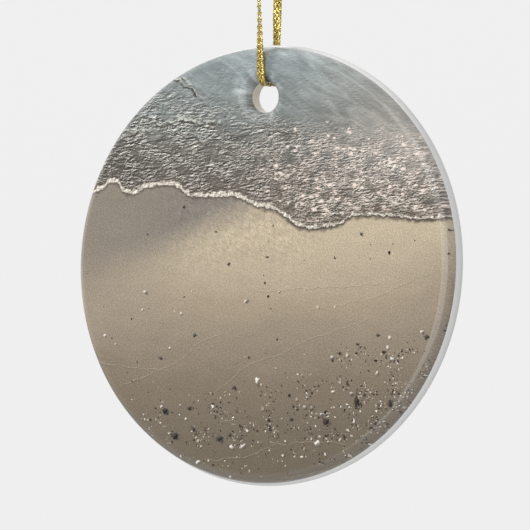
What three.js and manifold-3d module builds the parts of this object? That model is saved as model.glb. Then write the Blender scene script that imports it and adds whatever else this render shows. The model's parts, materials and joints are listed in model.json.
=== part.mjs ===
// Round hanging ornament: a flat glazed porcelain disc with a printed coating over its front,
// hung from a loop of flat braided cord that passes through a hole near the disc's top edge.
// Millimetres, +Z up, the printed front faces -Y. The origin is the hang point: the underside
// of the top of the loop, where a hook or a twig carries it. Cord and disc hang straight below.

import * as THREE from 'three';
import { mergeVertices } from 'three/addons/utils/BufferGeometryUtils.js';
import Module from 'manifold-3d';

const wasm = await Module();
wasm.setup();

// ---- Driving dimensions ----

const DISC_RADIUS = 35.7;
const DISC_THICKNESS = 4.0;
const DISC_DROP = 54.0; // from the hang point down to the disc's top edge

const SIDE_DRAFT = 0.5; // how much narrower the side is behind the front's round than at the widest
const FRONT_ROUND = 1.6; // radius of the front edge
const BACK_ROUND = 1.0; // radius of the back edge

const HOLE_RADIUS = 2.45;
const HOLE_ABOVE_CENTRE = 27.2;
const FRONT_MOUTH_ROUND = 2.0; // radius of the hole's wide soft mouth in the front face
const BACK_MOUTH_ROUND = 0.5;

const COATING = 0.2; // drawn thicker than the real film, to stay a solid
const COATING_GAP = 0.05; // between the coating and the pocket that it lies in
const COATING_SIDE_DEPTH = 1.8; // how far down the side the coating reaches, from the front face
const COATING_MOUTH_END = 13; // degrees of the front mouth's quarter round that stay bare

const CORD_WIDTH = 1.2;
const CORD_THICKNESS = 0.4;
const CORD_BEVEL = 0.12; // corner of the flat cord's eight-sided section
const KNOT_RADII = [1.5, 1.7, 1.6];
const KNOT_HEIGHT = 5.2; // of the knot's middle, above the hang point

const DISC_FACETS = 72;
const HOLE_FACETS = 40;
const EDGE_STEPS = 5;
const FRONT_MOUTH_STEPS = 6;
const BACK_MOUTH_STEPS = 3;

// ---- Places that follow from them ----

const HALF = DISC_THICKNESS / 2;
const DISC_CENTRE = new THREE.Vector3(0, 0, -DISC_DROP - DISC_RADIUS);
const HOLE_CENTRE = new THREE.Vector3(0, 0, DISC_CENTRE.z + HOLE_ABOVE_CENTRE);
const COATING_SIDE_END = COATING_SIDE_DEPTH - HALF;

// The cord's route, knot to knot: down in front of the disc, through the hole, up behind it.
// It hangs a little to the right of the hole's middle, and the loop opens towards its top.
const FRONT_STRAND = [
  [0.0, -0.45, 3.3],
  [0.0, -0.95, 1.95],
  [0.0, -2.1, 0.65],
  [0.0, -3.4, -0.75],
  [0.0, -4.5, -2.5],
  [0.0, -5.2, -4.8],
  [0.0, -5.4, -7.6],
  [0.0, -5.2, -12.0],
  [0.05, -4.7, -19.0],
  [0.1, -4.05, -28.0],
  [0.15, -3.45, -37.5],
  [0.2, -3.07, -44.7],
];
const BIGHT = [
  [0.2, -3.05, -45.0],
  [0.2, -2.8, -49.5],
  [0.2, -2.62, -54.0],
  [0.2, -2.5, -56.5],
  [0.2, -2.38, -58.05],
  [0.2, -2.3, -59.05],
  [0.2, -1.95, -59.95],
  [0.2, -1.2, -60.38],
  [0.2, 0.0, -60.44],
  [0.2, 1.4, -60.44],
  [0.2, 2.1, -60.2],
  [0.2, 2.38, -59.6],
  [0.2, 2.44, -58.05],
  [0.2, 2.5, -56.5],
  [0.2, 2.62, -54.0],
  [0.2, 2.8, -49.5],
  [0.2, 3.05, -45.0],
];
const BACK_STRAND = FRONT_STRAND.map(([x, y, z]) => [x, -y, z]).reverse();
const TAIL_FRONT = [
  [0.3, -0.5, 7.2],
  [0.7, -1.0, 8.8],
  [1.5, -2.1, 9.8],
  [2.4, -3.5, 9.9],
  [3.0, -4.8, 9.1],
];
const TAIL_BACK = [
  [-0.3, 0.5, 7.2],
  [-0.6, 0.9, 9.0],
  [-1.2, 1.8, 10.5],
  [-2.1, 3.0, 11.2],
  [-3.1, 4.2, 10.9],
];
const STRAND_STEPS = 20;
const BIGHT_STEPS = 44;
const TAIL_STEPS = 4;

// ---- Materials ----

const porcelain = new THREE.MeshStandardMaterial({ color: 0xdfe2e0, roughness: 0.12, metalness: 0 });
const print = new THREE.MeshStandardMaterial({ color: 0x9a8c7c, roughness: 0.14, metalness: 0 });
const goldCord = new THREE.MeshStandardMaterial({ color: 0xc79a2e, roughness: 0.38, metalness: 0.8 });

// ---- Closed solids: joining and cutting ----

function toSolid(geometry) {
  const bare = geometry.clone();
  bare.deleteAttribute('normal');
  bare.deleteAttribute('uv');
  const merged = mergeVertices(bare, 1e-5);
  return new wasm.Manifold(new wasm.Mesh({
    numProp: 3,
    vertProperties: new Float32Array(merged.attributes.position.array),
    triVerts: new Uint32Array(merged.index.array),
  }));
}

function toGeometry(solid) {
  const mesh = solid.getMesh();
  const geometry = new THREE.BufferGeometry();
  geometry.setAttribute('position', new THREE.BufferAttribute(new Float32Array(mesh.vertProperties), 3));
  geometry.setIndex(new THREE.BufferAttribute(new Uint32Array(mesh.triVerts), 1));
  geometry.computeVertexNormals();
  return geometry;
}

// A solid of revolution about the Y axis. Profiles run from -Y to +Y, as radius and y.
function turned(profile, facets, centre) {
  const outline = profile.map(([radius, y]) => new THREE.Vector2(radius, y));
  return new THREE.LatheGeometry(outline, facets).translate(centre.x, centre.y, centre.z);
}

// A stretch of a circle about (radius, y), from one angle to another, in degrees.
function arc(radius, y, round, from, to, steps) {
  return Array.from({ length: steps + 1 }, (_, i) => {
    const angle = THREE.MathUtils.degToRad(from + (to - from) * i / steps);
    return [radius + round * Math.cos(angle), y + round * Math.sin(angle)];
  });
}

// ---- Disc and coating ----

// The side's radius at a height y: it widens evenly from the front round to the back round.
function sideRadius(y) {
  const share = THREE.MathUtils.inverseLerp(FRONT_ROUND - HALF, HALF - BACK_ROUND, y);
  return DISC_RADIUS - SIDE_DRAFT * (1 - share);
}

// The printed stretch of the disc's outline, moved inwards by inset and ended at a height y.
function printedOutline(inset, end) {
  const centre = DISC_RADIUS - SIDE_DRAFT - FRONT_ROUND;
  const round = FRONT_ROUND - inset;
  const edge = arc(centre, FRONT_ROUND - HALF, round, -90, 0, EDGE_STEPS);
  return [[0, inset - HALF], ...edge, [sideRadius(end) - inset, end]];
}

function backOutline() {
  const edge = arc(DISC_RADIUS - BACK_ROUND, HALF - BACK_ROUND, BACK_ROUND, 0, 90, EDGE_STEPS);
  return [...edge, [0, HALF]];
}

// The disc itself. With a pocket, its printed stretch lies deeper by that much.
function discBody(pocket) {
  const end = COATING_SIDE_END + COATING_GAP;
  const shoulder = pocket > 0 ? [[sideRadius(end), end]] : [];
  return turned([...printedOutline(pocket, end), ...shoulder, ...backOutline()], DISC_FACETS, DISC_CENTRE);
}

// The hole's front mouth, moved inwards by inset, between two angles of its quarter round.
function frontMouth(inset, from, to, steps) {
  const centre = HOLE_RADIUS + FRONT_MOUTH_ROUND;
  return arc(centre, FRONT_MOUTH_ROUND - HALF, FRONT_MOUTH_ROUND - inset, 180 + from, 180 + to, steps);
}

const FLARE_END = 80; // degrees of each mouth's quarter round; the rest runs straight out past the face
const PAST = HALF + 0.2; // how far the hole's tool reaches
const FLARE_RUN = 0.9; // how much wider the tool gets there

// The hole's tool. With a pocket, the printed stretch of its front mouth is wider by that much.
function holeTool(pocket) {
  const bareFrom = COATING_MOUTH_END - 1.5;
  const outer = HOLE_RADIUS + FRONT_MOUTH_ROUND + FLARE_RUN;
  const printed = frontMouth(pocket, FLARE_END, bareFrom, FRONT_MOUTH_STEPS);
  const bare = frontMouth(0, bareFrom, 0, 2).slice(pocket > 0 ? 0 : 1);
  const backCentre = HOLE_RADIUS + BACK_MOUTH_ROUND;
  const back = arc(
    backCentre, HALF - BACK_MOUTH_ROUND, BACK_MOUTH_ROUND, 180, 180 - FLARE_END, BACK_MOUTH_STEPS,
  );
  const backEnd = [[backCentre + FLARE_RUN, PAST], [0, PAST]];
  const profile = [[0, -PAST], [outer, -PAST], ...printed, ...bare, ...back, ...backEnd];
  return turned(profile, HOLE_FACETS, HOLE_CENTRE);
}

function ceramicDisc() {
  const pocket = COATING + COATING_GAP;
  return toGeometry(toSolid(discBody(pocket)).subtract(toSolid(holeTool(pocket))));
}

// Everything behind the coating: what is left of the whole disc outside it is the coating.
function coatingCore() {
  const outside = DISC_RADIUS + 1;
  const past = HALF + 1;
  const body = [...printedOutline(COATING, COATING_SIDE_END), [outside, COATING_SIDE_END]];
  const core = turned([...body, [outside, past], [0, past]], DISC_FACETS, DISC_CENTRE);
  const mouth = frontMouth(COATING, FLARE_END, COATING_MOUTH_END, FRONT_MOUTH_STEPS);
  const innermost = HOLE_RADIUS - 0.5;
  const front = [[0, -PAST], [HOLE_RADIUS + FRONT_MOUTH_ROUND + FLARE_RUN, -PAST]];
  const throat = [[innermost, mouth.at(-1)[1]], [innermost, past + 0.1], [0, past + 0.1]];
  const opening = turned([...front, ...mouth, ...throat], HOLE_FACETS, HOLE_CENTRE);
  return toSolid(core).subtract(toSolid(opening));
}

// The film over the front, down to its end on the side and into the hole's front mouth.
function printedCoating() {
  const whole = toSolid(discBody(0)).subtract(toSolid(holeTool(0)));
  return toGeometry(whole.subtract(coatingCore()));
}

// ---- Cord, knot and tails ----

// The flat cord's section: its width across the loop's plane, its thickness in that plane.
function cordSection() {
  const w = CORD_WIDTH / 2;
  const t = CORD_THICKNESS / 2;
  const corners = [
    [w, t - CORD_BEVEL], [w - CORD_BEVEL, t], [CORD_BEVEL - w, t], [-w, t - CORD_BEVEL],
    [-w, CORD_BEVEL - t], [CORD_BEVEL - w, -t], [w - CORD_BEVEL, -t], [w, CORD_BEVEL - t],
  ];
  return new THREE.Shape(corners.map(([x, y]) => new THREE.Vector2(x, y)));
}

function cordTube(points, steps) {
  const route = new THREE.CatmullRomCurve3(points.map((p) => new THREE.Vector3(...p)));
  return new THREE.ExtrudeGeometry(cordSection(), { steps, extrudePath: route, bevelEnabled: false });
}

function knot() {
  return new THREE.SphereGeometry(1, 16, 10).scale(...KNOT_RADII).translate(0, 0, KNOT_HEIGHT);
}

// ---- Assembly ----

function piece(name, geometry, material) {
  const mesh = new THREE.Mesh(geometry, material);
  mesh.name = name;
  return mesh;
}

const disc = new THREE.Group();
disc.add(
  piece('ceramic_disc', ceramicDisc(), porcelain),
  piece('printed_coating', printedCoating(), print),
);

const hanger = new THREE.Group();
hanger.add(
  piece('cord_strand_front', cordTube(FRONT_STRAND, STRAND_STEPS), goldCord),
  piece('cord_strand_back', cordTube(BACK_STRAND, STRAND_STEPS), goldCord),
  piece('cord_bight', cordTube(BIGHT, BIGHT_STEPS), goldCord),
  piece('cord_knot', knot(), goldCord),
  piece('cord_tail_front', cordTube(TAIL_FRONT, TAIL_STEPS), goldCord),
  piece('cord_tail_back', cordTube(TAIL_BACK, TAIL_STEPS), goldCord),
);

const ornament = new THREE.Group();
ornament.add(disc, hanger);

export default ornament;
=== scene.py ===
"""Looks of a round porcelain hanging ornament with a printed beach picture and a gold cord.

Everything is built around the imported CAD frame, in metres, in the same row frame: the printed
front faces -Y, +X is to the right of it and +Z is up. The origin is the hang point.
"""

import json
import math

import bpy
import numpy as np
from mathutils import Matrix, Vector


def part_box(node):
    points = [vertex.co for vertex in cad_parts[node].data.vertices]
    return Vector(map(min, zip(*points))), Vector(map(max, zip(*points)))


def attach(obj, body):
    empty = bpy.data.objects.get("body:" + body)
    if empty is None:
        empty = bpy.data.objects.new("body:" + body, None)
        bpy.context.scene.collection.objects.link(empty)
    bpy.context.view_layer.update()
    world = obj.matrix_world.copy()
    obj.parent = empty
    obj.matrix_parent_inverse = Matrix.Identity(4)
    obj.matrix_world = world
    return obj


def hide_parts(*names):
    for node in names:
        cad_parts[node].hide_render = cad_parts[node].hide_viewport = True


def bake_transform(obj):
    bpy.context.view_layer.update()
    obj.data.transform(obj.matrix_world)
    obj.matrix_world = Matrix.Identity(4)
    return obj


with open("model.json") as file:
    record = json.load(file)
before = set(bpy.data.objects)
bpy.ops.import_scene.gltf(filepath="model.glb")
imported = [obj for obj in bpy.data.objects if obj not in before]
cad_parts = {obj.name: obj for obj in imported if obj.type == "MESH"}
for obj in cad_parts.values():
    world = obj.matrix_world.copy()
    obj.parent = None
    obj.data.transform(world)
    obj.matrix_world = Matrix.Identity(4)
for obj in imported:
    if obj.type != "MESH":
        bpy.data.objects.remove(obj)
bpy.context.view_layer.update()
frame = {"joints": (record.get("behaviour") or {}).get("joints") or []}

MM = 0.001

# ---- Sizes and places, from the frame ----

disc_low, disc_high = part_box("ceramic_disc")
DISC_RADIUS = (disc_high.x - disc_low.x) / 2
HALF = disc_high.y
CENTRE_Z = (disc_low.z + disc_high.z) / 2
SWING = next(j for j in frame["joints"] if j["name"] == "disc_swing")
HOLE_Z = SWING["pos_m"][2]

# the drafted side, the rounded edges and the hole's mouths, and where the film ends on them
SIDE_DRAFT = 0.5 * MM
FRONT_ROUND = 1.6 * MM
BACK_ROUND = 1.0 * MM
FILM_SIDE_END = 1.8 * MM - HALF
HOLE_RADIUS = 2.45 * MM
FRONT_MOUTH = 2.0 * MM
BACK_MOUTH = 0.5 * MM
# in degrees round the front mouth, from the throat
FILM_MOUTH_END = 13
FILM = 0.03 * MM

CORD_WIDTH = 1.2 * MM
CORD_THICKNESS = 0.4 * MM

# ---- The cord's route, in mm: down the front, through the hole and up the back ----

FRONT_STRAND = [
    (0.0, -0.45, 3.3), (0.0, -0.95, 1.95), (0.0, -2.1, 0.65), (0.0, -3.4, -0.75),
    (0.0, -4.5, -2.5), (0.0, -5.2, -4.8), (0.0, -5.4, -7.6), (0.0, -5.2, -12.0),
    (0.05, -4.7, -19.0), (0.1, -4.05, -28.0), (0.15, -3.45, -37.5),
]
BIGHT = [
    (0.2, -3.05, -45.0), (0.2, -2.8, -49.5), (0.2, -2.62, -54.0), (0.2, -2.5, -56.5),
    (0.2, -2.38, -58.05), (0.2, -2.3, -59.05), (0.2, -1.95, -59.95), (0.2, -1.2, -60.38),
    (0.2, 0.0, -60.44), (0.2, 1.4, -60.44), (0.2, 2.1, -60.2), (0.2, 2.38, -59.6),
    (0.2, 2.44, -58.05), (0.2, 2.5, -56.5), (0.2, 2.62, -54.0), (0.2, 2.8, -49.5),
    (0.2, 3.05, -45.0),
]
BACK_STRAND = [(x, -y, z) for x, y, z in reversed(FRONT_STRAND)]
ROUTE = [Vector(p) * MM for p in [*FRONT_STRAND, *BIGHT, *BACK_STRAND]]


# ---- Camera, floor and light ----

def add_camera():
    """The product view: from the right of the front and slightly below, through a long lens."""
    azimuth, elevation = math.radians(31.02), math.radians(-2.3)
    distance = 1.25
    width_seen = 85.76 * MM
    data = bpy.data.cameras.new("camera")
    data.sensor_width = 36.0
    data.lens = data.sensor_width * distance / width_seen
    data.clip_start, data.clip_end = 0.05, 20.0
    cam = bpy.data.objects.new("camera", data)
    bpy.context.scene.collection.objects.link(cam)
    back = Vector((
        math.sin(azimuth) * math.cos(elevation),
        -math.cos(azimuth) * math.cos(elevation),
        math.sin(elevation),
    ))
    right = Vector((math.cos(azimuth), math.sin(azimuth), 0.0))
    aim = Vector((0, 0, CENTRE_Z + 0.02 * MM)) - right * 0.363 * MM
    cam.location = aim + back * distance
    cam.rotation_mode = "QUATERNION"
    cam.rotation_quaternion = (-back).to_track_quat("-Z", "Y")
    bpy.context.scene.camera = cam


def add_floor():
    floor_mesh = bpy.data.meshes.new("floor")
    size, height = 6.0, disc_low.z - 0.3
    floor_mesh.from_pydata(
        [(-size, -size, height), (size, -size, height), (size, size, height), (-size, size, height)],
        [], [(0, 1, 2, 3)],
    )
    floor = bpy.data.objects.new("floor", floor_mesh)
    bpy.context.scene.collection.objects.link(floor)
    material = bpy.data.materials.new("floor_paint")
    material.use_nodes = True
    bsdf = material.node_tree.nodes["Principled BSDF"]
    bsdf.inputs["Base Color"].default_value = (0.6, 0.6, 0.6, 1)
    bsdf.inputs["Roughness"].default_value = 0.9
    floor_mesh.materials.append(material)


def add_surroundings():
    """Plain surroundings: pale behind and to the left, darker to the right, dim at front left."""
    world = bpy.data.worlds.new("surroundings")
    bpy.context.scene.world = world
    world.use_nodes = True
    nodes, links = world.node_tree.nodes, world.node_tree.links
    place = nodes.new("ShaderNodeTexCoord")

    def along(direction):
        node = nodes.new("ShaderNodeVectorMath")
        node.operation = "DOT_PRODUCT"
        node.inputs[1].default_value = direction
        links.new(place.outputs["Generated"], node.inputs[0])
        return node.outputs["Value"]

    level = nodes.new("ShaderNodeMath")
    level.operation = "MULTIPLY_ADD"
    links.new(along((-0.51, 0.80, 0.30)), level.inputs[0])
    level.inputs[1].default_value = 0.277
    level.inputs[2].default_value = 0.6
    dim = nodes.new("ShaderNodeMapRange")
    dim.interpolation_type = "SMOOTHSTEP"
    links.new(along((-0.515, -0.857, 0.04)), dim.inputs["Value"])
    dim.inputs["From Min"].default_value = 0.75
    dim.inputs["From Max"].default_value = 0.96
    dim.inputs["To Min"].default_value = 1.0
    dim.inputs["To Max"].default_value = 0.45
    both = nodes.new("ShaderNodeMath")
    both.operation = "MULTIPLY"
    links.new(level.outputs[0], both.inputs[0])
    links.new(dim.outputs["Result"], both.inputs[1])
    links.new(both.outputs[0], nodes["Background"].inputs["Color"])
    bpy.context.scene.view_settings.view_transform = "Standard"


def add_softbox(name, azimuth, elevation, distance, size, brightness):
    """A soft lamp that faces the disc's middle, from an azimuth to the right of the front."""
    data = bpy.data.lights.new(name, "AREA")
    data.shape = "RECTANGLE"
    data.size, data.size_y = size
    data.energy = brightness * math.pi * data.size * data.size_y
    lamp = bpy.data.objects.new(name, data)
    a, e = math.radians(azimuth), math.radians(elevation)
    away = Vector((math.sin(a) * math.cos(e), -math.cos(a) * math.cos(e), math.sin(e)))
    lamp.location = Vector((0, 0, CENTRE_Z)) + away * distance
    lamp.rotation_mode = "QUATERNION"
    lamp.rotation_quaternion = away.to_track_quat("Z", "Y")
    bpy.context.scene.collection.objects.link(lamp)
    return lamp


def add_studio(cords):
    add_floor()
    add_surroundings()
    add_softbox("front_softbox", 14, 6, 0.7, (1.02, 0.9), 1.1)
    # the key lamp shapes the shadows and isn't mirrored in the gloss; the sparkle is the cord's own
    key = add_softbox("key_lamp", -62, 42, 0.8, (0.2, 0.2), 40.0)
    key.visible_glossy = False
    sparkle = add_softbox("sparkle_lamp", 4, 30, 0.8, (0.24, 0.2), 30.0)
    lit = bpy.data.collections.new("lit_by_sparkle")
    for piece in cords:
        lit.objects.link(piece)
    sparkle.light_linking.receiver_collection = lit


# ---- Mesh helpers ----

def add_mesh(name, points, faces):
    mesh = bpy.data.meshes.new(name)
    mesh.from_pydata(points, [], faces)
    mesh.validate()
    mesh.polygons.foreach_set("use_smooth", [True] * len(mesh.polygons))
    obj = bpy.data.objects.new(name, mesh)
    bpy.context.scene.collection.objects.link(obj)
    return obj


def ring_mesh(name, rings):
    """A closed body from rings of the same number of points, joined in a loop, ring to ring."""
    count = len(rings[0])
    points = [p for ring in rings for p in ring]
    faces = []
    for r in range(len(rings)):
        s = (r + 1) % len(rings)
        for i in range(count):
            j = (i + 1) % count
            faces.append((r * count + i, r * count + j, s * count + j, s * count + i))
    return add_mesh(name, points, faces)


RING_POINTS = 384
SIDE_RADIUS = DISC_RADIUS - SIDE_DRAFT
FLAT_RADIUS = SIDE_RADIUS - FRONT_ROUND
ROUND_ANGLES = [math.tau * i / RING_POINTS for i in range(RING_POINTS)]


def disc_ring(radius, y):
    return [(radius * math.cos(a), y, CENTRE_Z + radius * math.sin(a)) for a in ROUND_ANGLES]


def hole_ring(radius, y):
    """A ring about the hole, its points in line with the disc's own from the hole's middle."""
    ring = []
    for x, _, z in disc_ring(FLAT_RADIUS, y):
        away = Vector((x, 0, z - HOLE_Z)).normalized() * radius
        ring.append((away.x, y, HOLE_Z + away.z))
    return ring


def between(inner, outer, steps):
    """The rings strictly between two others."""
    rings = []
    for k in range(1, steps):
        share = k / steps
        rings.append([tuple(Vector(p).lerp(Vector(q), share)) for p, q in zip(inner, outer)])
    return rings


def arc(radius, y, size, start, end, steps):
    """Points (radius, y) along a stretch of a circle, both ends included; angles in degrees."""
    angles = [math.radians(start + (end - start) * k / steps) for k in range(steps + 1)]
    return [(radius + size * math.cos(a), y + size * math.sin(a)) for a in angles]


def side_radius(y):
    """The side widens evenly from the front round to the back round."""
    share = (y + HALF - FRONT_ROUND) / (2 * HALF - FRONT_ROUND - BACK_ROUND)
    return DISC_RADIUS - SIDE_DRAFT * (1 - share)


def front_edge(inset):
    """The front round and the side down to the film's end, moved inwards by inset."""
    points = arc(FLAT_RADIUS, FRONT_ROUND - HALF, FRONT_ROUND - inset, -90, 0, 20)
    points.append((side_radius(FILM_SIDE_END) - inset, FILM_SIDE_END))
    return [disc_ring(r, y) for r, y in points]


def front_mouth(inset, start, end, steps):
    """The hole's front mouth, between two angles of its quarter round, moved inwards by inset."""
    centre = HOLE_RADIUS + FRONT_MOUTH
    points = arc(centre, FRONT_MOUTH - HALF, FRONT_MOUTH - inset, 180 + start, 180 + end, steps)
    return [hole_ring(r, y) for r, y in points]


def make_disc():
    """The porcelain: throat, front mouth, face under the film, edge, back and back mouth."""
    throat_end = HALF - BACK_MOUTH
    back_mouth = arc(HOLE_RADIUS + BACK_MOUTH, throat_end, BACK_MOUTH, 90, 180, 8)
    back_edge = arc(DISC_RADIUS - BACK_ROUND, HALF - BACK_ROUND, BACK_ROUND, 0, 90, 14)
    rings = [hole_ring(HOLE_RADIUS, throat_end * 0.5)]
    rings += front_mouth(0.0, 0, FILM_MOUTH_END, 3) + front_mouth(FILM, FILM_MOUTH_END, 90, 14)
    edge = front_edge(FILM)
    rings += between(rings[-1], edge[0], 8) + edge
    rings += [disc_ring(side_radius(FILM_SIDE_END), FILM_SIDE_END)]
    rings += [disc_ring(r, y) for r, y in back_edge]
    back = [hole_ring(r, y) for r, y in back_mouth]
    rings += between(rings[-1], back[0], 8) + back
    return ring_mesh("porcelain", rings)


def make_film():
    """The printed film: its front over mouth, face and edge, and its underside back again."""
    mouth = front_mouth(0.0, FILM_MOUTH_END, 90, 14)
    edge = front_edge(0.0)
    outside = mouth + between(mouth[-1], edge[0], 8) + edge
    inner_edge = list(reversed(front_edge(FILM * 0.8)))
    inner_mouth = list(reversed(front_mouth(FILM * 0.8, FILM_MOUTH_END, 90, 14)))
    inside = inner_edge + between(inner_edge[-1], inner_mouth[0], 8) + inner_mouth
    return ring_mesh("printed_film", outside + inside)


# ---- Cord ----

FINE_STEPS = 24


def spline(points, step):
    """A smooth line through the points (Catmull-Rom, centripetal), resampled at an even step."""
    ends = [points[0] * 2 - points[1], *points, points[-1] * 2 - points[-2]]
    fine = []
    for p0, p1, p2, p3 in zip(ends, ends[1:], ends[2:], ends[3:]):
        t1 = (p1 - p0).length ** 0.5
        t2 = t1 + (p2 - p1).length ** 0.5
        t3 = t2 + (p3 - p2).length ** 0.5
        for k in range(FINE_STEPS):
            t = t1 + (t2 - t1) * k / FINE_STEPS
            a1 = p0 * ((t1 - t) / t1) + p1 * (t / t1)
            a2 = p1 * ((t2 - t) / (t2 - t1)) + p2 * ((t - t1) / (t2 - t1))
            a3 = p2 * ((t3 - t) / (t3 - t2)) + p3 * ((t - t2) / (t3 - t2))
            b1 = a1 * ((t2 - t) / t2) + a2 * (t / t2)
            b2 = a2 * ((t3 - t) / (t3 - t1)) + a3 * ((t - t1) / (t3 - t1))
            fine.append(b1 * ((t2 - t) / (t2 - t1)) + b2 * ((t - t1) / (t2 - t1)))
    fine.append(points[-1])
    line = np.array([tuple(p) for p in fine])
    along = np.concatenate([[0], np.cumsum(np.linalg.norm(np.diff(line, axis=0), axis=1))])
    even = np.linspace(0, along[-1], max(2, round(along[-1] / step)) + 1)
    return np.stack([np.interp(even, along, line[:, k]) for k in range(3)], 1)


# How far each strand is turned about the vertical, in degrees, at heights in mm.
FRONT_TWIST = [
    (-60.0, 0), (-58.4, 0), (-57.0, -8), (-55.0, -18), (-53.0, -28), (-50.7, -39), (-48.7, -46),
    (-46.8, -50), (-40.0, -75), (-28.0, -130), (-18.0, -165), (-8.0, -180), (4.0, -180),
]
BACK_TWIST = [
    (-60.0, 0), (-56.0, -10), (-53.0, -8), (-50.7, 6), (-48.7, 28), (-46.8, 44), (-40.0, 62),
    (-28.0, 40), (-15.0, 10), (-8.0, 0), (4.0, 0),
]
# The overhand knot's middle line about its centre, in mm, from the loop up to the tails.
KNOT_CENTRE = Vector((0, 0, 5.2))
KNOT_TURNS = [
    (-0.1, 0.25, -1.0), (-0.05, -0.2, 0.05), (0.1, 0.2, 0.95), (0.85, 0.35, 1.0), (1.25, 0.0, 0.15),
    (0.75, -0.65, -0.65), (-0.1, -0.9, -0.8), (-0.95, -0.4, -0.45), (-0.95, 0.5, 0.1),
    (-0.1, 0.8, 0.2), (0.6, 0.3, 0.25), (0.5, -0.6, 0.6), (0.3, -0.6, 1.3),
]
FRONT_TAIL = [(0.3, -0.5, 7.2), (0.7, -1.0, 8.8), (1.5, -2.1, 9.8), (2.4, -3.5, 9.9), (3.0, -4.8, 9.1)]
BACK_TAIL = [(-0.3, 0.5, 7.2), (-0.6, 0.9, 9.0), (-1.2, 1.8, 10.5), (-2.1, 3.0, 11.2), (-3.1, 4.2, 10.9)]

YARNS = 8
BRAID_TURN = 4.4 * MM
YARN_SIDES = 6
LINE_STEP = 0.1 * MM
FLARE_LENGTH = 1.2 * MM
# the two ends lie side by side in the knot, so each is pressed narrower there
KNOTTED_WIDTH = 0.95 * MM
KNOTTED_OFFSET = 0.24 * MM


def directions(line):
    tangents = np.gradient(line, axis=0)
    return tangents / np.linalg.norm(tangents, axis=1)[:, None]


def unit(vectors):
    return vectors / np.linalg.norm(vectors, axis=1)[:, None]


def turned_frame(line, degrees):
    """The flat braid's wide direction and its outward one, turned about the line by degrees."""
    tangents = directions(line)
    across = np.array([1.0, 0, 0]) - tangents * tangents[:, :1]
    across = unit(across)
    out = np.cross(tangents, across)
    angle = np.radians(degrees)[:, None]
    return across * np.cos(angle) + out * np.sin(angle), out * np.cos(angle) - across * np.sin(angle)


def carried_frame(line, start):
    """The wide direction carried along a line without twisting, from a start direction."""
    tangents = directions(line)
    across = [np.array(start)]
    for t in tangents:
        step = across[-1] - t * np.dot(across[-1], t)
        across.append(step / np.linalg.norm(step))
    across = np.array(across[1:])
    return across, np.cross(tangents, across)


def braid(line, across, out, width, thickness, flare=0.0):
    """Eight flat yarns, four going round each way and passing over and under one another.

    Returns points, faces and, for each point, its place round its yarn, along it and which yarn.
    """
    yarn_width, yarn_thickness = width * 0.44, thickness * 0.34
    over = thickness * 0.12
    half_width = width / 2 - yarn_thickness / 2 - over
    half_thickness = thickness / 2 - yarn_thickness / 2 - over
    along = np.concatenate([[0], np.cumsum(np.linalg.norm(np.diff(line, axis=0), axis=1))])
    spread = 1 + flare * np.clip(1 - (along[-1] - along) / FLARE_LENGTH, 0, 1) ** 2
    points, faces, places = [], [], []
    for yarn in range(YARNS):
        way = 1 if yarn % 2 == 0 else -1
        phase = way * math.tau * along / BRAID_TURN + math.tau * (yarn // 2) / (YARNS / 2)
        c, s = np.cos(phase)[:, None], np.sin(phase)[:, None]
        normal = unit(across * c * half_thickness + out * s * half_width)
        lift = (way * over * np.cos(YARNS / 2 * phase))[:, None]
        middle = line + (across * c * half_width + out * s * half_thickness + normal * lift) * spread[:, None]
        side = unit(np.cross(directions(middle), normal))
        base = len(points) * len(line) * YARN_SIDES
        ring, ring_places = [], []
        for k in range(YARN_SIDES):
            a = math.tau * k / YARN_SIDES
            flat, thick = math.cos(a) * yarn_width / 2, math.sin(a) * yarn_thickness / 2
            ring.append(middle + side * flat + normal * thick)
            place = [np.full(len(line), math.cos(a)), along / MM, np.full(len(line), yarn)]
            ring_places.append(np.stack(place, 1))
        points.append(np.stack(ring, 1).reshape(-1, 3))
        places.append(np.stack(ring_places, 1).reshape(-1, 3))
        for r in range(len(line) - 1):
            low, high = base + r * YARN_SIDES, base + (r + 1) * YARN_SIDES
            for k in range(YARN_SIDES):
                n = (k + 1) % YARN_SIDES
                faces.append((low + k, low + n, high + n, high + k))
        faces.append(tuple(base + k for k in reversed(range(YARN_SIDES))))
        faces.append(tuple(base + (len(line) - 1) * YARN_SIDES + k for k in range(YARN_SIDES)))
    return np.concatenate(points), faces, np.concatenate(places)


def braid_object(name, braids):
    """One object from several braids, with each point's place on its yarn kept for the material."""
    points, faces, places, base = [], [], [], 0
    for p, f, q in braids:
        points.append(p)
        places.append(q)
        faces += [tuple(i + base for i in face) for face in f]
        base += len(p)
    obj = add_mesh(name, [tuple(p) for p in np.concatenate(points)], faces)
    kept = obj.data.attributes.new("yarn_place", "FLOAT_VECTOR", "POINT")
    kept.data.foreach_set("vector", np.concatenate(places).astype(np.float32).ravel())
    return obj


def make_cord():
    """The loop, from where the front strand leaves the knot to where the back strand does."""
    line = spline(ROUTE, LINE_STEP)
    front = line[:, 1] < 0
    heights = line[:, 2] / MM
    turn_front = -np.interp(heights, *zip(*FRONT_TWIST))
    turn_back = np.interp(heights, *zip(*BACK_TWIST))
    across, out = turned_frame(line, np.where(front, turn_front, turn_back))
    cord = braid_object("cord", [braid(line, across, out, CORD_WIDTH * 1.02, CORD_THICKNESS)])
    return cord, [tuple(p) for p in line[::4]]


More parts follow.
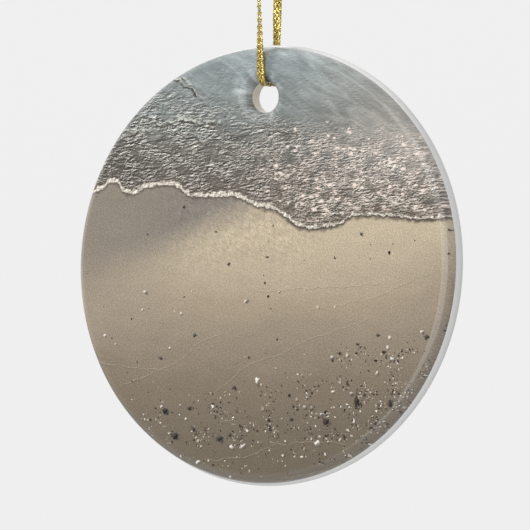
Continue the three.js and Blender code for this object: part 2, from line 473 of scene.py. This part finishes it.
def make_knot():
    """Both ends tied together in one overhand knot, with a cut tail from each."""
    braids = []
    for way, entry, tail in ((-1, ROUTE[0], FRONT_TAIL), (1, ROUTE[-1], BACK_TAIL)):
        turns = [(KNOT_CENTRE + Vector(p) * 0.95) * MM for p in KNOT_TURNS]
        top = Vector((0, 0, tail[0][2])) * MM
        middle = spline([Vector((0, 0, entry.z)), *turns, top], LINE_STEP)
        across, out = carried_frame(middle, (0.0, 1.0, 0.0))
        shifted = middle + across * way * KNOTTED_OFFSET
        inside = shifted[8:-8:9]
        points = [entry, *[Vector(p) for p in inside], *[Vector(p) * MM for p in tail]]
        line = spline(points, LINE_STEP)
        across, out = carried_frame(line, (1.0, 0.0, 0.0))
        braids.append(braid(line, across, out, KNOTTED_WIDTH, CORD_THICKNESS, flare=0.5))
    return braid_object("cord_ends", braids)


# ---- Materials: short ways to add and join nodes ----

def linear(red, green, blue):
    """A colour as it is picked on screen, 0 to 255, in the linear values that nodes take."""
    out = []
    for v in (red / 255, green / 255, blue / 255):
        out.append(v / 12.92 if v <= 0.04045 else ((v + 0.055) / 1.055) ** 2.4)
    return (*out, 1.0)


# The picture's own light comes from its upper left: x to the right, then z up.
LIGHT_FROM = (-0.64, 0.77)


class Paint:
    """One material under construction. Numbers and sockets can be mixed freely as arguments."""

    def __init__(self, name):
        self.material = bpy.data.materials.new(name)
        self.material.use_nodes = True
        self.tree = self.material.node_tree
        self.surface = self.tree.nodes["Principled BSDF"]

    def put(self, socket, value):
        if isinstance(value, bpy.types.NodeSocket):
            self.tree.links.new(value, socket)
        elif socket.type == "VECTOR":
            socket.default_value = value[:3]
        else:
            socket.default_value = value

    def math(self, operation, a, b=0.0, c=0.0):
        node = self.tree.nodes.new("ShaderNodeMath")
        node.operation = operation
        for socket, value in zip(node.inputs, (a, b, c)):
            self.put(socket, value)
        return node.outputs[0]

    def vector(self, operation, a, b=(0.0, 0.0, 0.0), scale=1.0):
        """A vector sum; LENGTH and DOT_PRODUCT give a number."""
        node = self.tree.nodes.new("ShaderNodeVectorMath")
        node.operation = operation
        self.put(node.inputs[0], a)
        self.put(node.inputs[1], b)
        if operation == "SCALE":
            self.put(node.inputs["Scale"], scale)
        return node.outputs["Value" if operation in ("LENGTH", "DOT_PRODUCT") else "Vector"]

    def add(self, a, b):
        return self.math("ADD", a, b)

    def times(self, a, b):
        return self.math("MULTIPLY", a, b)

    def rise(self, value, low, high):
        """0 below low, 1 above high and a smooth step between; low may be above high."""
        node = self.tree.nodes.new("ShaderNodeMapRange")
        node.interpolation_type = "SMOOTHSTEP"
        for name, v in (("Value", value), ("From Min", low), ("From Max", high)):
            self.put(node.inputs[name], v)
        return node.outputs["Result"]

    def mix(self, share, a, b):
        """Colour a where share is 0 and colour b where it is 1."""
        node = self.tree.nodes.new("ShaderNodeMix")
        node.data_type = "RGBA"
        self.put(node.inputs[0], share)
        self.put(node.inputs[6], a)
        self.put(node.inputs[7], b)
        return node.outputs[2]

    def ramp(self, value, stops):
        """A colour from stops given as (value, colour), in rising order."""
        low, high = stops[0][0], stops[-1][0]
        share = self.math("MULTIPLY_ADD", value, 1 / (high - low), -low / (high - low))
        node = self.tree.nodes.new("ShaderNodeValToRGB")
        self.put(node.inputs["Fac"], share)
        elements = node.color_ramp.elements
        elements[0].position, elements[0].color = 0.0, stops[0][1]
        elements[1].position, elements[1].color = 1.0, stops[-1][1]
        for at, colour in stops[1:-1]:
            element = elements.new((at - low) / (high - low))
            element.color = colour
        return node.outputs["Color"]

    def curve(self, value, points):
        """A height that follows points (value, height) in a smooth line."""
        low, high = points[0][0], points[-1][0]
        floor = min(h for _, h in points)
        span = max(h for _, h in points) - floor
        node = self.tree.nodes.new("ShaderNodeFloatCurve")
        line = node.mapping.curves[0]
        line.points[0].location = (0.0, (points[0][1] - floor) / span)
        line.points[1].location = (1.0, (points[-1][1] - floor) / span)
        for at, height in points[1:-1]:
            line.points.new((at - low) / (high - low), (height - floor) / span)
        node.mapping.update()
        share = self.math("MULTIPLY_ADD", value, 1 / (high - low), -low / (high - low))
        self.put(node.inputs["Value"], share)
        return self.math("MULTIPLY_ADD", node.outputs[0], span, floor)

    def stretch(self, place, across, up, turn=0.0, shift=0.0):
        """Turns a place by degrees, then scales it along and across that direction."""
        turned = self.tree.nodes.new("ShaderNodeVectorRotate")
        turned.rotation_type = "Z_AXIS"
        self.put(turned.inputs["Vector"], place)
        turned.inputs["Angle"].default_value = math.radians(-turn)
        node = self.tree.nodes.new("ShaderNodeVectorMath")
        node.operation = "MULTIPLY_ADD"
        self.put(node.inputs[0], turned.outputs[0])
        node.inputs[1].default_value = (across, up, 1.0)
        node.inputs[2].default_value = (shift, shift * 1.7, 0.0)
        return node.outputs[0]

    def warp(self, place, scale, amount):
        """The same places, each pushed a little aside, so that shapes drawn on them turn ragged."""
        node = self.tree.nodes.new("ShaderNodeTexNoise")
        node.noise_dimensions = "2D"
        self.put(node.inputs["Vector"], place)
        node.inputs["Scale"].default_value = scale
        node.inputs["Detail"].default_value = 1.0
        push = self.vector("SUBTRACT", node.outputs["Color"], (0.5, 0.5, 0.5))
        return self.vector("ADD", place, self.vector("SCALE", push, scale=amount))

    def noise(self, place, detail=2.0, roughness=0.5, distortion=0.0, dimensions="2D"):
        """A soft cloudy number about 0.5, with grains one unit of place wide."""
        node = self.tree.nodes.new("ShaderNodeTexNoise")
        node.noise_dimensions = dimensions
        self.put(node.inputs["Vector"], place)
        node.inputs["Scale"].default_value = 1.0
        node.inputs["Detail"].default_value = detail
        node.inputs["Roughness"].default_value = roughness
        node.inputs["Distortion"].default_value = distortion
        return node.outputs["Fac"]

    def relief(self, place, across, up, turn=0.0, shift=0.0, reach=0.2, creased=False, **kind):
        """How much a bumpy surface faces a light at the upper left: above 0 lit, below 0 shaded.

        A creased surface has sharp folds too, and not only soft bumps.
        """
        toward_light = (LIGHT_FROM[0] * reach, LIGHT_FROM[1] * reach, 0.0)
        heights = []
        for spot in (place, self.vector("ADD", place, toward_light)):
            height = self.noise(self.stretch(spot, across, up, turn, shift), **kind)
            heights.append(self.math("ABSOLUTE", self.add(height, -0.5)) if creased else height)
        here, nearer = heights
        if creased:
            return self.math("SUBTRACT", nearer, here)
        return self.math("SUBTRACT", here, nearer)

    def shade(self, colour, amount):
        """A colour made lighter by a positive amount and darker by a negative one."""
        return self.vector("SCALE", colour, scale=self.math("EXPONENT", amount))

    def cells(self, place, scale):
        """Scattered points: the nearest one's place and two random numbers of its own."""
        node = self.tree.nodes.new("ShaderNodeTexVoronoi")
        node.voronoi_dimensions = "2D"
        self.put(node.inputs["Vector"], place)
        node.inputs["Scale"].default_value = scale
        parts = self.tree.nodes.new("ShaderNodeSeparateColor")
        self.tree.links.new(node.outputs["Color"], parts.inputs[0])
        return node.outputs["Position"], parts.outputs[0], parts.outputs[1]

    def bump(self, height, distance, strength=1.0):
        node = self.tree.nodes.new("ShaderNodeBump")
        node.inputs["Strength"].default_value = strength
        node.inputs["Distance"].default_value = distance
        self.put(node.inputs["Height"], height)
        return node.outputs[0]


# ---- The printed picture ----
# Heights and places on it are in mm from the disc's middle, x to the right and z up.

# the print's overall strength: below 0 is darker
INK = -0.05
FOAM_EDGE = [
    (-36.0, 11.8), (-31.8, 12.6), (-30.0, 13.2), (-28.0, 14.1), (-26.4, 12.6), (-24.2, 12.1),
    (-22.2, 13.0), (-17.5, 13.4), (-15.2, 12.6), (-12.4, 11.3), (-6.0, 11.3), (-1.2, 9.7),
    (2.2, 9.0), (5.4, 7.2), (9.0, 5.8), (14.6, 6.3), (17.6, 7.6), (26.0, 7.2), (29.2, 6.8), (36.0, 7.2),
]
# Each line of froth on the water: how strong it is, and its points.
FROTH_LINES = [
    (1.0, [(-20.6, 31.2), (-18.2, 30.9), (-14.4, 29.6), (-11.6, 27.4), (-10.2, 26.2)]),
    (0.85, [(-17.0, 31.6), (-14.6, 30.4), (-12.2, 28.7), (-10.8, 27.2)]),
    (0.85, [(-24.0, 24.4), (-21.2, 24.2), (-18.3, 23.2), (-14.8, 23.9), (-11.0, 23.0), (-6.0, 23.6)]),
    (0.6, [(-28.4, 19.8), (-25.7, 21.4), (-22.2, 22.3), (-18.9, 19.9)]),
    (0.7, [(-14.0, 21.6), (-12.0, 20.8), (-9.6, 19.4)]),
    (0.3, [(-11.0, 25.6), (-5.0, 24.9), (2.0, 22.6), (8.0, 22.4)]),
]
SWASH_LINES = [
    [(-33.0, -15.0), (-30.0, -15.6), (-25.9, -16.2), (-19.2, -16.6), (-14.4, -14.6), (-11.1, -12.2),
     (-6.0, -10.9)],
    [(-11.1, -21.9), (-6.8, -19.4), (-2.1, -16.2), (3.6, -14.6), (9.2, -12.2), (15.7, -10.5), (21.2, -8.9)],
    [(7.3, -7.7), (13.8, -6.9), (21.2, -5.7), (26.8, -3.7), (33.2, -1.6)],
    [(-11.6, -31.6), (-4.0, -31.2), (2.7, -29.3), (9.2, -28.8), (17.5, -29.4)],
    [(2.1, -34.8), (12.0, -33.2), (17.0, -31.6)],
    [(-28.5, -20.2), (-26.9, -19.4), (-22.5, -18.0), (-18.4, -16.4)],
    [(-2.1, -4.4), (7.3, -4.1), (17.5, -3.8), (24.0, -3.0)],
]


def seawater(paint, place, x, z):
    """Choppy shallow water: brown-grey ripples below, smooth teal-grey streaks above."""
    sway = paint.noise(paint.stretch(place, 0.16, 0.3, shift=3.0), 2.0)
    height = paint.math("MULTIPLY_ADD", sway, 5.0, paint.math("MULTIPLY_ADD", x, 0.03, z))
    water = paint.ramp(height, [
        (9.0, linear(105, 96, 85)), (16.0, linear(105, 99, 91)), (22.0, linear(112, 111, 105)),
        (28.0, linear(130, 136, 134)), (34.0, linear(149, 159, 159)), (40.0, linear(164, 173, 174)),
    ])
    right = paint.times(paint.rise(x, 3.0, 34.0), paint.rise(z, 7.0, 20.0))
    water = paint.mix(paint.times(right, 0.88), water, linear(170, 165, 157))
    left = paint.times(paint.rise(x, -14.0, -27.0), paint.rise(z, 25.0, 18.0))
    water = paint.shade(water, paint.times(left, -0.24))

    smooth = paint.rise(paint.math("MULTIPLY_ADD", x, 0.2, height), 22.0, 29.5)
    far = paint.noise(paint.stretch(place, 0.13, 0.42, turn=-30, shift=7.0), 4.0, 0.6, distortion=0.8)
    hair = paint.noise(paint.stretch(place, 0.22, 1.9, turn=-32, shift=9.0), 3.0, 0.6, distortion=0.2)
    streaks = paint.math("MULTIPLY_ADD", paint.add(hair, -0.5), 0.6, paint.times(paint.add(far, -0.5), 1.05))
    water = paint.shade(water, paint.times(streaks, smooth))

    calm = paint.math("MULTIPLY_ADD", smooth, -0.9, 1.0)
    swell = paint.relief(
        place, 0.13, 0.3, turn=-22, shift=5.0, reach=0.5, creased=True, detail=2.0, distortion=0.6)
    deep = paint.math("MULTIPLY_ADD", paint.rise(z, 17.0, 25.0), 3.2, 2.5)
    water = paint.shade(water, paint.times(paint.times(swell, calm), deep))
    fold = paint.relief(
        place, 0.4, 0.95, turn=-8, shift=1.0, reach=0.18, creased=True, detail=3.0, distortion=0.5)
    chop = paint.relief(place, 0.95, 2.7, turn=3, shift=12.0, reach=0.11, detail=3.0, roughness=0.7)
    patches = paint.noise(paint.stretch(place, 0.28, 0.45, turn=-25, shift=18.0), 2.0)
    rough = paint.math("MULTIPLY_ADD", paint.rise(patches, 0.32, 0.66), 0.9, 0.45)
    folds = paint.math("MULTIPLY_ADD", paint.rise(x, -8.0, 6.0), -0.55, 0.9)
    chop = paint.times(paint.math("MULTIPLY_ADD", fold, folds, chop), rough)
    water = paint.shade(water, paint.times(paint.math("MULTIPLY_ADD", chop, 7.4, -0.04), calm))
    crests = paint.times(paint.rise(chop, 0.055, 0.13), calm)
    water = paint.mix(paint.times(crests, 0.72), water, linear(234, 230, 220))
    hollows = paint.times(paint.rise(chop, -0.04, -0.14), calm)
    water = paint.mix(paint.times(hollows, 0.5), water, linear(52, 44, 36))

    cluster = paint.noise(paint.stretch(place, 0.4, 0.5, turn=20, shift=2.0), 2.0)
    zone = paint.times(paint.rise(x, -10.0, 14.0), paint.rise(z, 25.0, 17.0))
    zone = paint.times(zone, paint.rise(cluster, 0.3, 0.62))
    glint = paint.relief(place, 1.1, 3.6, turn=2, shift=11.0, reach=0.11, detail=2.0, roughness=0.6)
    water = paint.mix(paint.times(paint.rise(glint, 0.05, 0.12), zone), water, linear(255, 238, 224))
    ragged = paint.warp(place, 2.0, 0.5)
    middle, chance, size = paint.cells(ragged, 0.8)
    middle = paint.vector("SUBTRACT", ragged, middle)
    away = paint.vector("LENGTH", paint.vector("MULTIPLY", middle, (0.6, 1.3, 0.0)))
    picked = paint.math("GREATER_THAN", paint.times(zone, 0.62), chance)
    flash = paint.times(paint.rise(away, paint.math("MULTIPLY_ADD", size, 0.34, 0.2), 0.05), picked)
    water = paint.mix(paint.times(flash, 0.9), water, linear(255, 238, 226))

    wobble = paint.noise(paint.stretch(place, 0.6, 0.6, shift=15.0), 3.0, 0.65)
    gaps = paint.rise(paint.noise(paint.stretch(place, 0.8, 0.8, shift=19.0), 2.0), 0.34, 0.56)
    for strength, points in FROTH_LINES:
        kept = paint.times(gaps, strength)
        width = 0.25 + 0.45 * strength
        water = ridge_line(paint, x, z, water, points, wobble, 2.0, width, kept, linear(210, 212, 202))

    # Painted light and shade round the hole's mouth: light and dark streaks fanning out from the hole, and a
    # painted highlight (glare) just left of it, where the film bends into the hole.
    beside = paint.vector("SUBTRACT", place, (0.0, HOLE_Z / MM - CENTRE_Z / MM, 0.0))
    mouth_shading_zone = paint.rise(paint.vector("LENGTH", beside), 5.6, 3.6)
    mouth_shading_streaks = paint.noise(paint.stretch(paint.vector("NORMALIZE", beside), 3.2, 3.2, shift=5.5), 3.0, 0.6)
    water = paint.shade(water, paint.times(paint.times(paint.add(mouth_shading_streaks, -0.5), mouth_shading_zone), 1.8))
    glare = paint.vector("MULTIPLY", paint.vector("SUBTRACT", ragged, (-3.9, 28.1, 0.0)), (0.42, 1.1, 0.0))
    glare = paint.times(paint.rise(paint.vector("LENGTH", glare), 1.0, 0.2), paint.rise(mouth_shading_streaks, 0.3, 0.6))
    water = paint.mix(paint.times(glare, 0.8), water, linear(206, 214, 212))
    # Painted shade: the print darkened along the top-left edge, where the face rounds away.
    top_edge_shade = paint.times(paint.rise(paint.vector("LENGTH", place), 32.5, 35.0), paint.rise(x, 8.0, -6.0))
    return paint.shade(water, paint.times(top_edge_shade, -0.3))


def wet_sand(paint, place, x, z):
    """Wet sand: a warm glow under the foam that fades downwards, and a grey shade at upper left."""
    drift = paint.noise(paint.stretch(place, 0.07, 0.12, turn=25, shift=4.0), 3.0)
    height = paint.math("MULTIPLY_ADD", drift, 4.0, paint.add(z, -2.0))
    sand = paint.ramp(height, [
        (-36.0, linear(110, 100, 84)), (-26.0, linear(119, 108, 92)), (-19.0, linear(132, 120, 103)),
        (-12.0, linear(150, 137, 119)), (-7.0, linear(167, 152, 131)), (-2.0, linear(183, 168, 145)),
        (4.0, linear(195, 180, 155)), (10.0, linear(197, 182, 157)),
    ])
    edge = paint.math("MULTIPLY_ADD", x, 0.36, 6.6)
    shade = paint.rise(paint.math("SUBTRACT", height, edge), -1.0, 7.5)
    sand = paint.mix(paint.times(shade, paint.rise(x, 8.0, -6.0)), sand, linear(134, 127, 119))
    dim_left = paint.times(paint.rise(x, -5.0, -32.0), paint.rise(z, -15.0, -4.0))
    sand = paint.mix(paint.times(dim_left, 0.6), sand, linear(148, 137, 122))
    dim_right = paint.times(paint.rise(x, 20.0, 36.0), paint.rise(z, 6.0, -4.0))
    sand = paint.mix(paint.times(dim_right, 0.35), sand, linear(138, 126, 112))

    grain = paint.noise(paint.stretch(place, 4.2, 4.6, turn=20), 1.0, 0.6)
    dunes = paint.relief(place, 0.16, 0.34, turn=-28, shift=6.0, reach=0.7, detail=3.0)
    hatch = paint.relief(place, 0.5, 2.0, turn=-48, shift=8.0, reach=0.2, detail=1.0)
    hatched = paint.times(paint.rise(x, -24.0, -12.0), paint.rise(x, 14.0, 4.0))
    hatched = paint.times(hatched, paint.rise(z, -4.0, 5.0))
    sand = paint.shade(sand, paint.math("MULTIPLY_ADD", grain, 0.84, -0.42))
    sand = paint.shade(sand, paint.times(dunes, 0.3))
    return paint.shade(sand, paint.times(paint.times(hatch, hatched), 1.6))


def specks(paint, place, x, z, colour):
    """Shell bits and small dark pebbles, thickest at the lower right and along the bottom."""
    wander = paint.noise(paint.stretch(place, 0.11, 0.16, turn=-20, shift=21.0), 2.0)
    low = paint.math("MULTIPLY_ADD", wander, 16.0, paint.math("MULTIPLY_ADD", x, -0.24, z))
    thick = paint.times(paint.rise(low, -7.0, -19.0), paint.rise(z, -36.0, -28.0))
    clumps = paint.noise(paint.stretch(place, 0.3, 0.34, shift=31.0), 2.0)
    thick = paint.times(thick, paint.rise(clumps, 0.4, 0.66))
    thick = paint.times(thick, paint.math("MULTIPLY_ADD", paint.rise(x, 13.0, 24.0), 0.9, 1.0))
    ragged = paint.warp(place, 1.9, 0.42)
    for scale, share, size in ((0.75, 0.42, 0.29), (1.3, 0.62, 0.19), (2.2, 0.62, 0.12)):
        middle, chance, kind = paint.cells(ragged, scale)
        picked = paint.math("GREATER_THAN", paint.math("MULTIPLY_ADD", thick, share, 0.006), chance)
        offset = paint.vector("SUBTRACT", ragged, middle)
        cast = paint.vector("LENGTH", paint.vector("ADD", offset, (-0.5 * size, 0.5 * size, 0.0)))
        shadow = paint.rise(cast, 1.1 * size, 0.5 * size)
        colour = paint.mix(paint.times(paint.times(shadow, picked), 0.75), colour, linear(58, 50, 42))
        body = paint.times(paint.rise(paint.vector("LENGTH", offset), size, 0.65 * size), picked)
        stone = paint.ramp(kind, [
            (0.0, linear(34, 29, 26)), (0.5, linear(64, 56, 49)), (0.56, linear(164, 151, 134)),
            (0.8, linear(206, 195, 178)), (1.0, linear(246, 240, 230)),
        ])
        colour = paint.mix(body, colour, stone)
    return colour


def ridge_line(paint, x, z, colour, points, wobble, sway, width, strength, pale):
    """A low ridge along points: its upper side lit in pale, and its lower side dark."""
    line = paint.math("MULTIPLY_ADD", paint.add(wobble, -0.5), sway, paint.curve(x, points))
    above = paint.math("SUBTRACT", z, line)
    first, last = points[0][0], points[-1][0]
    inside = paint.times(paint.rise(x, first, first + 2.5), paint.rise(x, last, last - 2.5))
    lit = paint.times(paint.rise(above, 0.0, width * 0.35), paint.rise(above, width, width * 0.4))
    dark = paint.times(paint.rise(above, -width, -width * 0.3), paint.rise(above, width * 0.2, -width * 0.1))
    colour = paint.mix(paint.times(paint.times(lit, inside), strength), colour, pale)
    return paint.mix(paint.times(paint.times(dark, inside), strength), colour, linear(74, 66, 55))


def swash_lines(paint, place, x, z, colour):
    """Thin ridges that earlier waves left in the sand."""
    wobble = paint.noise(paint.stretch(place, 0.5, 0.5, shift=9.0), 3.0, 0.6)
    for points in SWASH_LINES:
        colour = ridge_line(paint, x, z, colour, points, wobble, 1.0, 0.2, 0.27, linear(218, 204, 180))
    return colour


# Each pebble: its place, its half width and half height, all in mm, and how pale it is.
PEBBLES = [
    (17.9, -22.2, 0.42, 1.05, 0.0), (16.9, -21.0, 0.3, 0.3, 0.6), (-7.9, -28.0, 0.62, 0.5, 0.05),
    (-6.0, -27.4, 0.5, 0.32, 0.1), (-0.7, -18.8, 0.34, 0.6, 1.0), (-22.0, -4.0, 0.4, 0.3, 0.9),
    (-15.2, -7.6, 0.26, 0.22, 1.0), (-19.1, -14.8, 0.34, 0.26, 0.1), (-12.6, -11.2, 0.3, 0.3, 0.1),
    (-6.2, 0.3, 0.3, 0.22, 0.1), (1.2, 1.3, 0.26, 0.2, 0.2), (-2.8, -5.8, 0.36, 0.24, 0.8),
    (10.7, -28.9, 0.48, 0.42, 1.0), (8.3, -23.1, 0.44, 0.3, 0.5), (5.7, -25.0, 0.3, 0.3, 0.1),
    (12.2, -25.5, 0.55, 0.5, 0.0), (11.3, -24.3, 0.35, 0.25, 0.7), (-5.1, -19.8, 0.42, 0.34, 0.1),
    (-3.4, -29.3, 0.42, 0.4, 0.95), (-5.5, -29.5, 0.4, 0.34, 0.9), (24.5, -15.6, 0.32, 0.3, 0.9),
    (23.7, -13.8, 0.3, 0.26, 0.9), (13.4, -15.1, 0.36, 0.34, 0.8), (24.1, -22.7, 0.4, 0.55, 0.0),
    (15.6, -27.9, 0.26, 0.4, 0.0), (18.0, -13.1, 0.3, 0.2, 0.1), (21.9, -11.7, 0.3, 0.22, 0.1),
    (-13.6, -23.0, 0.34, 0.26, 0.05), (-8.7, -24.3, 0.3, 0.26, 0.1), (-12.8, -26.4, 0.32, 0.3, 0.05),
    (-14.2, -24.8, 0.28, 0.24, 0.8), (-11.9, -31.8, 0.4, 0.3, 1.0), (-6.0, -34.3, 0.3, 0.22, 0.9),
    (7.7, -31.1, 0.32, 0.26, 1.0), (-17.4, -13.3, 0.24, 0.2, 0.9), (-29.8, -11.0, 0.24, 0.2, 0.9),
    (-18.2, -23.4, 0.5, 0.42, 0.0), (-18.9, -22.7, 0.3, 0.2, 0.8), (-16.3, -27.5, 0.6, 0.46, 0.0),
    (-17.3, -27.1, 0.26, 0.24, 0.7), (30.8, -12.1, 0.42, 0.34, 0.05), (30.0, -11.4, 0.3, 0.24, 0.8),
    (18.8, 4.6, 0.3, 0.26, 0.2), (3.4, -4.4, 0.24, 0.2, 0.9), (13.5, -20.7, 0.28, 0.24, 1.0),
    (21.7, -17.8, 0.28, 0.3, 0.9),
]


def pebble_group():
    """One small stone on the sand: lit at its upper left, with a soft shadow at its lower right."""
    paint = Paint("pebble_draft")
    tree = bpy.data.node_groups.new("pebble", "ShaderNodeTree")
    for name, kind in (("Colour", "Color"), ("Place", "Vector"), ("At", "Vector"),
                       ("Size", "Vector"), ("Pale", "Float"), ("Ragged", "Float")):
        tree.interface.new_socket(name, in_out="INPUT", socket_type="NodeSocket" + kind)
    tree.interface.new_socket("Colour", in_out="OUTPUT", socket_type="NodeSocketColor")
    tree.interface.new_socket("Place", in_out="OUTPUT", socket_type="NodeSocketVector")
    bpy.data.materials.remove(paint.material)
    paint.tree = tree
    given = tree.nodes.new("NodeGroupInput").outputs
    offset = paint.vector("DIVIDE", paint.vector("SUBTRACT", given["Place"], given["At"]), given["Size"])
    away = paint.add(paint.vector("LENGTH", offset), given["Ragged"])
    cast = paint.vector("SUBTRACT", offset, (0.55, -0.55, 0.0))
    shadow = paint.rise(paint.add(paint.vector("LENGTH", cast), given["Ragged"]), 1.3, 0.6)
    sand = paint.mix(paint.times(shadow, 0.6), given["Colour"], linear(52, 46, 40))
    lit = paint.rise(paint.vector("DOT_PRODUCT", offset, (*LIGHT_FROM, 0.0)), -0.6, 0.5)
    dark = paint.mix(lit, linear(26, 22, 20), linear(74, 66, 58))
    pale = paint.mix(lit, linear(126, 114, 100), linear(246, 241, 232))
    stone = paint.mix(given["Pale"], dark, pale)
    done = tree.nodes.new("NodeGroupOutput")
    colour = paint.mix(paint.rise(away, 1.18, 0.88), sand, stone)
    paint.put(done.inputs["Colour"], colour)
    # the place goes on only with the colour, so that the stones are worked out one after another
    nothing = paint.vector("SCALE", colour, scale=1e-9)
    paint.put(done.inputs["Place"], paint.vector("ADD", given["Place"], nothing))
    return tree


def pebbles(paint, place, colour):
    tree = pebble_group()
    place = paint.warp(place, 1.4, 0.5)
    ragged = paint.noise(paint.stretch(place, 2.4, 2.4, shift=17.0), 1.0)
    ragged = paint.math("MULTIPLY_ADD", ragged, 1.4, -0.7)
    for x, z, half_width, half_height, pale in PEBBLES:
        node = paint.tree.nodes.new("ShaderNodeGroup")
        node.node_tree = tree
        paint.put(node.inputs["Colour"], colour)
        paint.put(node.inputs["Place"], place)
        node.inputs["At"].default_value = (x, z, 0.0)
        node.inputs["Size"].default_value = (half_width, half_height, 1.0)
        node.inputs["Pale"].default_value = pale
        paint.put(node.inputs["Ragged"], ragged)
        colour, place = node.outputs["Colour"], node.outputs["Place"]
    return colour


def foam_line(paint, place, x, z, water, sand):
    """Where the water ends: a lumpy line of white foam with its dark shadow on the sand below."""
    lumps = paint.noise(paint.stretch(place, 1.1, 1.1, shift=2.5), 3.0, 0.65)
    edge = paint.math("MULTIPLY_ADD", lumps, 1.1, paint.add(paint.curve(x, FOAM_EDGE), -0.6))
    above = paint.math("SUBTRACT", z, edge)
    right, thin = paint.rise(x, -8.0, 6.0), paint.rise(x, 4.0, 11.0)
    reach = paint.math("MULTIPLY_ADD", right, -0.35, -0.6)
    shadow = paint.times(paint.rise(above, reach, -0.12), paint.math("MULTIPLY_ADD", right, 0.3, 0.6))
    sand = paint.mix(shadow, sand, linear(62, 55, 50))
    beach = paint.mix(paint.rise(above, -0.06, 0.06), sand, water)
    wet = paint.times(paint.rise(above, 2.0, 0.6), paint.rise(above, 0.0, 0.3))
    beach = paint.mix(paint.times(wet, 0.45), beach, linear(98, 86, 76))
    width = paint.noise(paint.stretch(place, 0.75, 0.75, shift=14.0), 3.0, 0.6)
    width = paint.math("MULTIPLY_ADD", width, 1.5, paint.math("MULTIPLY_ADD", thin, -0.36, 0.06))
    foam = paint.times(paint.rise(above, -0.06, 0.10), paint.rise(above, width, paint.add(width, -0.3)))
    bubbles = paint.relief(place, 1.9, 2.2, shift=1.5, reach=0.16, detail=2.0)
    white = paint.shade(linear(208, 200, 187), paint.times(bubbles, 2.6))
    return paint.mix(foam, beach, white)


def printed_picture():
    paint = Paint("printed_picture")
    coords = paint.tree.nodes.new("ShaderNodeTexCoord").outputs["Object"]
    parts = paint.tree.nodes.new("ShaderNodeSeparateXYZ")
    paint.put(parts.inputs[0], coords)
    x = paint.times(parts.outputs[0], 1 / MM)
    z = paint.math("MULTIPLY_ADD", parts.outputs[2], 1 / MM, -CENTRE_Z / MM)
    flat = paint.tree.nodes.new("ShaderNodeCombineXYZ")
    paint.put(flat.inputs[0], x)
    paint.put(flat.inputs[1], z)
    place = flat.outputs[0]
    sand = swash_lines(paint, place, x, z, wet_sand(paint, place, x, z))
    sand = specks(paint, place, x, z, sand)
    sand = pebbles(paint, place, sand)
    picture = foam_line(paint, place, x, z, seawater(paint, place, x, z), sand)
    paint.put(paint.surface.inputs["Base Color"], paint.shade(picture, INK))
    paint.surface.inputs["Roughness"].default_value = 0.09
    paint.surface.inputs["Specular IOR Level"].default_value = 1.0
    waves = paint.noise(paint.stretch(place, 0.12, 0.12), 2.0)
    paint.put(paint.surface.inputs["Normal"], paint.bump(waves, 0.05 * MM, 0.6))
    return paint.material


def glazed_porcelain():
    """White porcelain: the glaze a little uneven, with faint grey pinholes."""
    paint = Paint("glazed_porcelain")
    place = paint.tree.nodes.new("ShaderNodeTexCoord").outputs["Object"]
    pools = paint.noise(paint.stretch(place, 90.0, 90.0), 3.0, dimensions="3D")
    tint = paint.mix(pools, linear(215, 216, 215), linear(222, 222, 220))
    beside = paint.vector("SUBTRACT", place, (0.0, 0.0, HOLE_Z))
    beside = paint.vector("MULTIPLY", beside, (1.0, 0.0, 1.0))
    bore = paint.rise(paint.vector("LENGTH", beside), HOLE_RADIUS + 0.6 * MM, HOLE_RADIUS)
    tint = paint.mix(bore, tint, linear(219, 214, 197))
    pits = paint.tree.nodes.new("ShaderNodeTexVoronoi")
    paint.put(pits.inputs["Vector"], place)
    pits.inputs["Scale"].default_value = 420.0
    dots = paint.rise(pits.outputs["Distance"], 0.10, 0.04)
    glaze = paint.mix(paint.times(dots, 0.25), tint, linear(176, 174, 170))
    paint.put(paint.surface.inputs["Base Color"], glaze)
    paint.put(paint.surface.inputs["Roughness"], paint.math("MULTIPLY_ADD", pools, 0.08, 0.08))
    peel = paint.noise(paint.stretch(place, 260.0, 260.0), 2.0, dimensions="3D")
    paint.put(paint.surface.inputs["Normal"], paint.bump(peel, 0.02 * MM, 0.5))
    return paint.material


def metallic_yarn():
    """Gold foil yarn: fine filaments along each yarn, and painted shade, a dark brown-gold, between the yarns
    where they hem one another in.
    """
    paint = Paint("metallic_yarn")
    kept = paint.tree.nodes.new("ShaderNodeAttribute")
    kept.attribute_name = "yarn_place"
    filaments = paint.noise(paint.stretch(kept.outputs["Vector"], 5.0, 1.6), 2.0, 0.6, dimensions="3D")
    foil = paint.mix(paint.rise(filaments, 0.3, 0.7), linear(148, 120, 34), linear(244, 218, 120))
    # Painted shade: the colour turns dark brown-gold where ambient occlusion finds the yarns hemmed in.
    occlusion = paint.tree.nodes.new("ShaderNodeAmbientOcclusion")
    occlusion.inputs["Distance"].default_value = 0.3 * MM
    occlusion.samples = 4
    unshaded_share = paint.rise(occlusion.outputs["AO"], 0.15, 0.8)
    paint.put(paint.surface.inputs["Base Color"], paint.mix(unshaded_share, linear(88, 70, 14), foil))
    paint.surface.inputs["Metallic"].default_value = 1.0
    paint.surface.inputs["Coat Weight"].default_value = 1.0
    paint.surface.inputs["Coat Roughness"].default_value = 0.07
    paint.put(paint.surface.inputs["Roughness"], paint.math("MULTIPLY_ADD", filaments, 0.2, 0.1))
    paint.put(paint.surface.inputs["Normal"], paint.bump(filaments, 0.04 * MM, 0.8))
    return paint.material


# ---- Assembly ----

add_camera()
cord, cord_path = make_cord()
gold = metallic_yarn()
cord.data.materials.append(gold)
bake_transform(cord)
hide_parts("cord_strand_front", "cord_strand_back", "cord_bight")
ends = make_knot()
ends.data.materials.append(gold)
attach(ends, "hanger")
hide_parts("cord_knot", "cord_tail_front", "cord_tail_back")
disc = make_disc()
disc.data.materials.append(glazed_porcelain())
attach(disc, "disc")
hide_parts("ceramic_disc")
film = make_film()
film.data.materials.append(printed_picture())
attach(film, "disc")
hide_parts("printed_coating")
add_studio([cord, ends])
